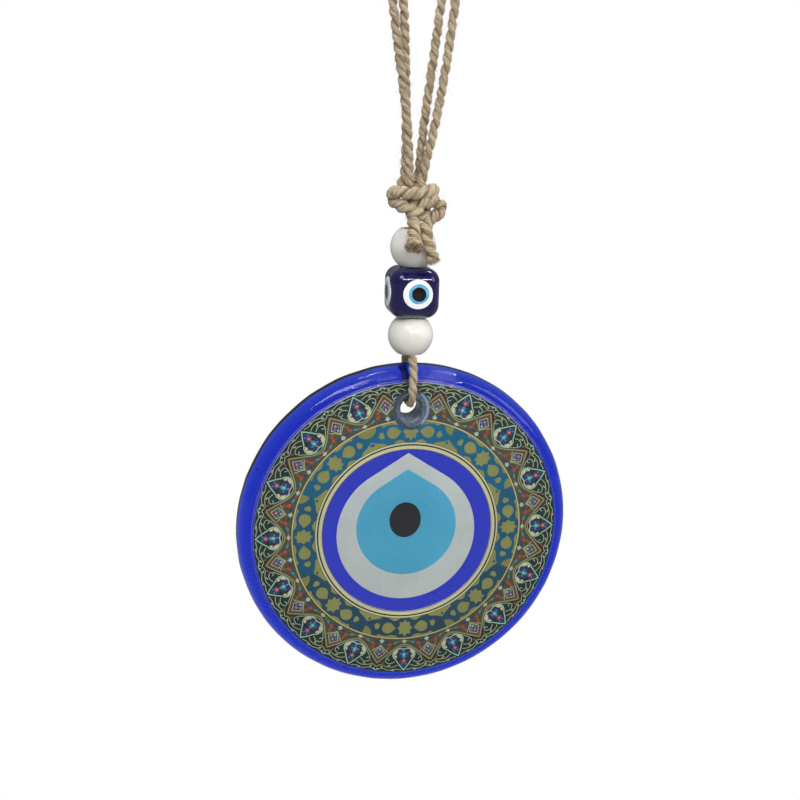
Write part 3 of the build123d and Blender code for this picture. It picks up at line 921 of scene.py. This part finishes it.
film = Mat("printed_film")
ink = film.node("ShaderNodeVertexColor", layer_name="ink")
oc = film.coords("Object")
grain = film.noise(oc, 5200, 2.0, 0.6)
wash = film.noise(oc, 60, 2.0)
col = film.mix(1.0, ink.outputs["Color"], film.ramp(grain, [(0.25, (0.80, 0.80, 0.80)), (0.75, (1.16, 1.16, 1.16))]), "MULTIPLY")
col = film.mix(1.0, col, film.ramp(wash, [(0.3, (0.93, 0.93, 0.94)), (0.7, (1.05, 1.05, 1.04))]), "MULTIPLY")
film.link(col, film.p.inputs["Base Color"])
film.link(film.ramp(grain, [(0.3, (0.55, 0.55, 0.55)), (0.7, (0.42, 0.42, 0.42))]), film.p.inputs["Roughness"])
film.bump(grain, 0.25, 0.00003)
film.set(Specular_IOR_Level=0.2)
print_ob = piece("printed_eye_film", verts, faces, [film], smooth=False)
ca = print_ob.data.color_attributes.new("ink", "FLOAT_COLOR", "CORNER")
loops = np.ones((len(print_ob.data.loops), 4), np.float32)
loops[:, :3] = (0.62, 0.63, 0.62)
loops[: n_front * 3, :3] = np.repeat(colours, 3, axis=0)
ca.data.foreach_set("color", loops.ravel())
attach(print_ob, "disc")
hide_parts("print_film")
print("film", len(faces), "faces")

# painted shade: a dark slate sleeve runs over the lip and down into the hole, standing in for the shade seen in the
# glass bore
lip = [(HOLE_R + LIP_FRONT - (LIP_FRONT + 0.05) * math.sin(math.radians(t)),
        FRONT_Y + LIP_FRONT - (LIP_FRONT + 0.05) * math.cos(math.radians(t))) for t in (4, 15, 26, 36, 46, 56, 66, 78, 90)]
lip += [(HOLE_R - 0.05, 0.0), (HOLE_R - 0.05, 2.6)]
lip_prof = [(4.90, 5.60, -4.56)] + [(r, r, y) for r, y in lip] + [(r + 0.03, r + 0.03, y) for r, y in lip[::-1]] + [(4.92, 5.62, -4.52)]
verts, faces = [], []
lr = [circle_ring(verts, 0, HOLE_DZ, rx, rz, y, 96) for rx, rz, y in lip_prof]
for a, b in zip(lr, lr[1:] + lr[:1]):
    strip(faces, a, b)
hole_shade_m = Mat("slate_hole_shade")
sn = hole_shade_m.noise(hole_shade_m.coords("Object"), 900, 3.0)
hole_shade_m.link(hole_shade_m.ramp(sn, [(0.3, srgb(62, 72, 88)), (0.7, srgb(104, 116, 130))]), hole_shade_m.p.inputs["Base Color"])
hole_shade_m.set(Roughness=0.22, Specular_IOR_Level=0.5)
lining = piece("slate_hole_shade_sleeve", verts, faces, [hole_shade_m])
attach(lining, "disc")

# ---------------------------------------------------------------------------
# Clear coat poured over the film
# ---------------------------------------------------------------------------
COAT_Y, COAT_BACK = -5.6, -4.515
verts, faces = [], []
prof = [(48.25, COAT_Y)]
for k in range(13):
    t = math.radians(90 * k / 12)
    prof.append((48.4 + 2.2 * math.sin(t), FRONT_Y - (FRONT_Y - COAT_Y) * math.cos(t)))
prof[-1] = (50.6, COAT_BACK)
prof.append((50.2, COAT_BACK))
rings = [circle_ring(verts, 0, 0, r, r, y, 288) for r, y in prof]
for a, b in zip(rings, rings[1:]):
    strip(faces, a, b)
edge = 0.45
mouth_prof = [(1.0, COAT_Y), (0.75, COAT_Y - 0.05)]
for k in range(9):
    t = math.radians(90 * k / 8)
    mouth_prof.append((edge - edge * math.sin(t) + 0.02 * (8 - k) / 8, COAT_Y - 0.07 * (1 - k / 8) + edge - edge * math.cos(t)))
mouth_prof += [(0.0, -4.8), (0.0, COAT_BACK), (0.5, COAT_BACK)]
mrings = [circle_ring(verts, 0, HOLE_DZ, MOUTH_RX - 0.02 + o, MOUTH_RZ - 0.02 + o, y, 96) for o, y in mouth_prof]
for a, b in zip(mrings, mrings[1:]):
    strip(faces, b, a)


def out_mouth(x, z, o):
    return (x / (MOUTH_RX + o)) ** 2 + ((z - HOLE_DZ) / (MOUTH_RZ + o)) ** 2 > 1


fill(verts, [rings[0], mrings[0]], [q for q in disc_points(47.2, 8.0, 3.0, 5)], COAT_Y, faces, True,
     lambda x, z: math.hypot(x, z) < 48.25 and out_mouth(x, z, 0.96))
fill(verts, [rings[-1], mrings[-1]], [q for q in disc_points(49.0, 7.0, 6.0, 6)], COAT_BACK, faces, False,
     lambda x, z: math.hypot(x, z) < 50.2 and out_mouth(x, z, 0.47))
for v in verts:
    if v.y / MM < COAT_Y + 0.001:
        x, z = v.x / MM, v.z / MM - D
        v.y += noise.noise(Vector((x * 0.05, 3.0, z * 0.05))) * 0.035 * MM
coat_m = Mat("clear_coat")
coat_m.set(Base_Color=(1.0, 1.0, 1.0, 1), Roughness=0.02, IOR=1.42, Transmission_Weight=1.0)
cn = coat_m.noise(coat_m.coords("Object"), 180, 2.0)
coat_m.bump(cn, 0.06, 0.0002)
coat = piece("clear_poured_coat", verts, faces, [coat_m])
coat.visible_shadow = False
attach(coat, "disc")
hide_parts("clear_coat")

# ---------------------------------------------------------------------------
# Beads
# ---------------------------------------------------------------------------
BEAD_R, BEAD_H, BORE_R, MOUTH_R, MOUTH_DEPTH = 7.1, 11.6, 2.9, 3.85, 2.1
CUBE_S, CUBE_EDGE_R = 15.6, 4.2


def mid_z(node):
    a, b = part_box(node)
    return (a.z + b.z) / 2 / MM - D


white = Mat("white_glass")
wn = white.noise(white.coords("Object", (1, 1, 0.6)), 210, 4.0, 0.6)
wn2 = white.noise(white.coords("Object", (1, 1, 2.2)), 70, 2.0)
wc = white.ramp(wn, [(0.30, srgb(228, 226, 218)), (0.62, srgb(238, 236, 230))])
wc = white.mix(1.0, wc, white.ramp(wn2, [(0.35, (0.95, 0.945, 0.93)), (0.7, (1.0, 1.0, 1.0))]), "MULTIPLY")
white.link(wc, white.p.inputs["Base Color"])
white.link(white.ramp(wn, [(0.3, (0.10, 0.10, 0.10)), (0.7, (0.17, 0.17, 0.17))]), white.p.inputs["Roughness"])
white.set(IOR=1.5, Subsurface_Weight=0.12, Subsurface_Scale=0.0012)
white.bump(wn, 0.12, 0.00012)


def bead(name, node, seed):
    zc = mid_z(node)
    h = BEAD_H / 2
    prof = []
    prof.append((4.15, -h + 0.03))
    for k in range(27):
        t = math.asin((h - 0.12) / BEAD_R) * (k / 13 - 1)
        prof.append((BEAD_R * math.cos(t), BEAD_R * math.sin(t)))
    prof.append((4.15, h - 0.03))
    prof += [(4.05, h)]
    for k in range(5):
        t = math.radians(22.5 * k)
        prof.append((MOUTH_R - 0.3 * math.sin(t) + 0.05, h - 0.3 + 0.3 * math.cos(t)))
    prof += [(BORE_R + 0.15, h - MOUTH_DEPTH + 0.25), (BORE_R, h - MOUTH_DEPTH - 0.1), (BORE_R, 0), (BORE_R, MOUTH_DEPTH - h + 0.1),
             (BORE_R + 0.15, MOUTH_DEPTH - h - 0.25)]
    for k in range(5):
        t = math.radians(90 - 22.5 * k)
        prof.append((MOUTH_R - 0.3 * math.sin(t) + 0.05, 0.3 - h - 0.3 * math.cos(t)))
    prof += [(4.05, -h)]
    verts, faces, rings = [], [], []
    g = random.Random(seed)
    off = Vector((g.uniform(0, 50), g.uniform(0, 50), 0))
    for r, z in prof:
        ring = []
        for i in range(96):
            an = 2 * math.pi * i / 96
            w = 1 + 0.006 * noise.noise(Vector((math.cos(an) * 1.2, math.sin(an) * 1.2, z * 0.22)) + off) if r > 4.4 else 1
            ring.append(len(verts))
            verts.append(P(r * w * math.cos(an), r * w * math.sin(an), zc + z))
        rings.append(ring)
    for a, b in zip(rings, rings[1:] + rings[:1]):
        strip(faces, a, b)
    return piece(name, verts, faces, [white])


for name, node, body, seed in (("lower_white_glass_bead", "lower_white_bead", "lower_bead", 5),
                               ("upper_white_glass_bead", "upper_white_bead", "upper_bead", 8)):
    ob = bead(name, node, seed)
    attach(ob, body)
    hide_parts(node)

# cube bead: rounded, slightly pillowed, with its bore
cz = mid_z("cube_bead")
H, IN = CUBE_S / 2, CUBE_S / 2 - CUBE_EDGE_R
verts, faces = [], []
GN = 28
index = {}


def cube_point(q):
    """The rounded box's surface under a point of the plain cube."""
    v = np.array(q, float)
    core = np.clip(v, -IN, IN)
    d = v - core
    n = np.linalg.norm(d)
    return core + d / n * CUBE_EDGE_R


axis_pos = []
for t in range(GN + 1):
    k = 7
    if t <= k:
        axis_pos.append(-IN - CUBE_EDGE_R * math.tan(math.radians(45) * (k - t) / k))
    elif t >= GN - k:
        axis_pos.append(IN + CUBE_EDGE_R * math.tan(math.radians(45) * (t - GN + k) / k))
    else:
        axis_pos.append(-IN + 2 * IN * (t - k) / (GN - 2 * k))
for ax in range(3):
    for sg in (-1, 1):
        grid = {}
        for i in range(GN + 1):
            for j in range(GN + 1):
                q = [0, 0, 0]
                q[ax] = sg * H
                q[(ax + 1) % 3] = axis_pos[i]
                q[(ax + 2) % 3] = axis_pos[j]
                p = cube_point(q)
                key = tuple(np.round(p, 4))
                if key not in index:
                    index[key] = len(verts)
                    verts.append(p)
                grid[i, j] = index[key]
        for i in range(GN):
            for j in range(GN):
                flat = 7 <= i < GN - 7 and 7 <= j < GN - 7
                if ax == 2 and flat:
                    continue
                f = (grid[i, j], grid[i + 1, j], grid[i + 1, j + 1], grid[i, j + 1])
                faces.append(f if sg > 0 else f[::-1])
        if ax == 2:
            k0, k1 = 7, GN - 7
            loop = [grid[i, k0] for i in range(k0, k1)] + [grid[k1, j] for j in range(k0, k1)]
            loop += [grid[i, k1] for i in range(k1, k0, -1)] + [grid[k0, j] for j in range(k1, k0, -1)]
            if sg > 0:
                top_loop = loop
            else:
                bottom_loop = loop
n = len(top_loop)
rings = []
for r, z in ((3.5, H), (3.4, H - 0.05), (3.15, H - 0.2), (2.98, H - 0.4), (BORE_R, H - 0.65), (BORE_R, 0), (BORE_R, 0.65 - H),
             (2.98, 0.4 - H), (3.15, 0.2 - H), (3.4, 0.05 - H), (3.5, -H)):
    ring = []
    for v in top_loop:
        an = math.atan2(verts[v][1], verts[v][0])
        ring.append(len(verts))
        verts.append(np.array((r * math.cos(an), r * math.sin(an), z)))
    rings.append(ring)
low_by_xy = {tuple(np.round(verts[v][:2], 4)): v for v in bottom_loop}
bottom_matched = [low_by_xy[tuple(np.round(verts[v][:2], 4))] for v in top_loop]
chain = [top_loop] + rings + [bottom_matched]
for a, b in zip(chain, chain[1:]):
    strip(faces, a, b)
out = []
for v in verts:
    q = v / H
    w = 1 + 0.006 * noise.noise(Vector(q * 1.4) + Vector((4, 1, 7)))
    if np.hypot(v[0], v[1]) < 3.6:
        w = 1
    out.append(P(v[0] * w, v[1] * w, cz + v[2] * (1 if abs(v[2]) > H - 0.3 else w)))
navy = Mat("navy_glass")
nn = navy.noise(navy.coords("Object"), 160, 3.0)
navy.link(navy.ramp(nn, [(0.3, srgb(13, 7, 62)), (0.7, srgb(20, 12, 80))]), navy.p.inputs["Base Color"])
navy.link(navy.ramp(nn, [(0.3, (0.06, 0.06, 0.06)), (0.7, (0.11, 0.11, 0.11))]), navy.p.inputs["Roughness"])
navy.set(IOR=1.5, Coat_Weight=0.4, Coat_Roughness=0.05)
navy.bump(nn, 0.12, 0.00012)
cube = piece("navy_eye_cube", out, faces, [navy])
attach(cube, "eye_cube")
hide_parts("cube_bead")


def dots(name, radius, base, rise, seed, shift, mats, node, sink):
    """Four low glass domes, one on each side of the cube, a little off centre and out of round as laid by hand."""
    verts, faces = [], []
    g = random.Random(seed)
    for side in range(4):
        dx, dz = shift[side]
        ph, el = g.uniform(0, 6.28), g.uniform(0.008, 0.02)
        c, s = math.cos(math.pi / 2 * side), math.sin(math.pi / 2 * side)
        levels = [(1.0, -sink)]
        for k in range(13):
            t = k / 12
            levels.append((math.cos(math.radians(90 * t)) if t < 1 else 0.0, rise * math.sin(math.radians(90 * t))))
        prev = None
        for f, y in levels[:-1]:
            ring = []
            for i in range(64):
                an = 2 * math.pi * i / 64
                r = radius * f * (1 + el * math.cos(2 * an + ph) + 0.006 * math.cos(3 * an + 2 * ph))
                u, w, d = r * math.cos(an) + dx, r * math.sin(an) + dz, H + base + y
                ring.append(len(verts))
                verts.append(P(u * c + d * s, -d * c + u * s, cz + w))
            if prev:
                strip(faces, prev, ring)
            else:
                faces.append(tuple(ring[::-1]))
            prev = ring
        tip = len(verts)
        d = H + base + levels[-1][1]
        verts.append(P(dx * c + d * s, -d * c + dx * s, cz + dz))
        for i in range(64):
            faces.append((prev[i], prev[(i + 1) % 64], tip))
    ob = piece(name, verts, faces, mats)
    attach(ob, "eye_cube")
    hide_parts(node)
    return ob


eyew = Mat("eye_white_glass")
en = eyew.noise(eyew.coords("Object"), 300, 3.0)
eyew.link(eyew.ramp(en, [(0.3, srgb(238, 240, 244)), (0.7, srgb(250, 251, 253))]), eyew.p.inputs["Base Color"])
eyew.set(Roughness=0.10, IOR=1.5)
eyew.bump(en, 0.06, 0.0001)
iris = Mat("eye_light_blue_glass")
bn = iris.noise(iris.coords("Object"), 520, 3.0)
iris.link(iris.ramp(bn, [(0.3, srgb(70, 158, 208)), (0.7, srgb(120, 196, 228))]), iris.p.inputs["Base Color"])
iris.set(Roughness=0.10, IOR=1.5)
iris.bump(bn, 0.06, 0.0001)
pupil = Mat("eye_black_glass")
pn = pupil.noise(pupil.coords("Object"), 420, 3.0)
pupil.link(pupil.ramp(pn, [(0.35, srgb(16, 13, 16)), (0.7, srgb(40, 26, 26))]), pupil.p.inputs["Base Color"])
pupil.set(Roughness=0.10, IOR=1.5)
pupil.bump(pn, 0.06, 0.0001)
dots("eye_white_dots", 4.6, 0.0, 0.34, 1, [(0.3, 0.2), (0.15, -0.1), (0.1, 0.1), (0.4, 0.1)], [eyew],
     "cube_bead_eye_whites", 0.9)
dots("eye_iris_dots", 3.25, 0.19, 0.25, 2, [(0.5, 0.35), (0.0, 0.1), (0.2, 0.0), (0.3, 0.15)], [iris],
     "cube_bead_eye_irises", 0.5)
dots("eye_pupil_dots", 2.3, 0.32, 0.22, 3, [(0.55, 0.3), (-0.15, 0.2), (0.3, -0.1), (0.2, 0.1)], [pupil],
     "cube_bead_eye_pupils", 0.3)

# ---------------------------------------------------------------------------
# Stage and light
# ---------------------------------------------------------------------------
bpy.ops.mesh.primitive_circle_add(vertices=64, radius=8, fill_type="NGON", location=(0, 0, -0.95))
floor = bpy.context.object
floor.name = "stage_floor"
fm = bpy.data.materials.new("stage_white")
fm.use_nodes = True
nt = fm.node_tree
nt.nodes.clear()
o = nt.nodes.new("ShaderNodeOutputMaterial")
mx = nt.nodes.new("ShaderNodeMixShader")
df = nt.nodes.new("ShaderNodeBsdfDiffuse")
df.inputs[0].default_value = (0.55, 0.55, 0.55, 1)
em = nt.nodes.new("ShaderNodeEmission")
em.inputs[0].default_value = (1, 1, 1, 1)
lp = nt.nodes.new("ShaderNodeLightPath")
mxx = nt.nodes.new("ShaderNodeMath")
mxx.operation = "MAXIMUM"
nt.links.new(lp.outputs["Is Camera Ray"], mxx.inputs[0])
far = nt.nodes.new("ShaderNodeMapRange")  # white through glass only beyond the object
far.inputs["From Min"].default_value = -0.6
far.inputs["From Max"].default_value = 0.0
pos = nt.nodes.new("ShaderNodeNewGeometry")
spl = nt.nodes.new("ShaderNodeSeparateXYZ")
nt.links.new(pos.outputs["Position"], spl.inputs[0])
nt.links.new(spl.outputs["Y"], far.inputs["Value"])
thr = nt.nodes.new("ShaderNodeMath")
thr.operation = "MULTIPLY"
nt.links.new(lp.outputs["Is Transmission Ray"], thr.inputs[0])
nt.links.new(far.outputs[0], thr.inputs[1])
nt.links.new(thr.outputs[0], mxx.inputs[1])
nt.links.new(mxx.outputs[0], mx.inputs[0])
nt.links.new(df.outputs[0], mx.inputs[1])
nt.links.new(em.outputs[0], mx.inputs[2])
nt.links.new(mx.outputs[0], o.inputs[0])
floor.data.materials.append(fm)

world = bpy.data.worlds.new("studio")
scene.world = world
world.use_nodes = True
nt = world.node_tree
nt.nodes.clear()
o = nt.nodes.new("ShaderNodeOutputWorld")
mx = nt.nodes.new("ShaderNodeMixShader")
soft = nt.nodes.new("ShaderNodeBackground")
plain = nt.nodes.new("ShaderNodeBackground")
plain.inputs[0].default_value = (1, 1, 1, 1)
plain.inputs[1].default_value = 1.0
tc = nt.nodes.new("ShaderNodeTexCoord")
sp = nt.nodes.new("ShaderNodeSeparateXYZ")
rp = nt.nodes.new("ShaderNodeValToRGB")
mr = nt.nodes.new("ShaderNodeMapRange")
mr.inputs["From Min"].default_value = -1
mr.inputs["From Max"].default_value = 1
nt.links.new(tc.outputs["Generated"], sp.inputs[0])
nt.links.new(sp.outputs["Z"], mr.inputs["Value"])
nt.links.new(mr.outputs[0], rp.inputs[0])
el = rp.color_ramp.elements
el[0].position, el[0].color = 0.30, (0.42, 0.42, 0.43, 1)
el[1].position, el[1].color = 0.95, (1.0, 1.0, 1.0, 1)
nt.links.new(rp.outputs[0], soft.inputs[0])
lp = nt.nodes.new("ShaderNodeLightPath")
dim = nt.nodes.new("ShaderNodeMath")  # the room reads darker in reflections than it lights
dim.operation = "MULTIPLY_ADD"
dim.inputs[1].default_value = -0.30
dim.inputs[2].default_value = 0.62
nt.links.new(lp.outputs["Is Glossy Ray"], dim.inputs[0])
nt.links.new(dim.outputs[0], soft.inputs[1])
mxx = nt.nodes.new("ShaderNodeMath")
mxx.operation = "MAXIMUM"
nt.links.new(lp.outputs["Is Camera Ray"], mxx.inputs[0])
far = nt.nodes.new("ShaderNodeMapRange")
far.inputs["From Min"].default_value = -0.35
far.inputs["From Max"].default_value = 0.1
nt.links.new(sp.outputs["Y"], far.inputs["Value"])
thr = nt.nodes.new("ShaderNodeMath")
thr.operation = "MULTIPLY"
nt.links.new(lp.outputs["Is Transmission Ray"], thr.inputs[0])
nt.links.new(far.outputs[0], thr.inputs[1])
nt.links.new(thr.outputs[0], mxx.inputs[1])
nt.links.new(mxx.outputs[0], mx.inputs[0])
nt.links.new(soft.outputs[0], mx.inputs[1])
nt.links.new(plain.outputs[0], mx.inputs[2])
nt.links.new(mx.outputs[0], o.inputs[0])


def area(name, at_, look, sx, sy, power, colour=(1, 1, 1)):
    l = bpy.data.lights.new(name, "AREA")
    l.shape, l.size, l.size_y, l.energy, l.color = "RECTANGLE", sx, sy, power, colour
    ob = bpy.data.objects.new(name, l)
    scene.collection.objects.link(ob)
    ob.location = at_
    ob.rotation_mode = "QUATERNION"
    ob.rotation_quaternion = (Vector(look) - Vector(at_)).to_track_quat("-Z", "Y")
    return ob


target = Vector((0, 0, (D + 40) * MM))
area("key_softbox", (-0.25, -0.45, 0.38), target, 0.35, 0.25, 1.45)
area("fill_softbox", (0.55, -0.35, 0.10), target, 0.3, 0.4, 0.7)
for row, (yy, zz) in enumerate(((0.055, 0.235), (-0.40, 0.06))):
    for i in range(24):
        x = (0.086 if row == 0 else 0.098) + (i - 11.5) * 0.0165
        area(f"led_{row}_{i}", (x, yy, zz), (0, 0, (D + 52) * MM), 0.006, 0.02, 0.045)

scene.view_settings.view_transform = "Standard"
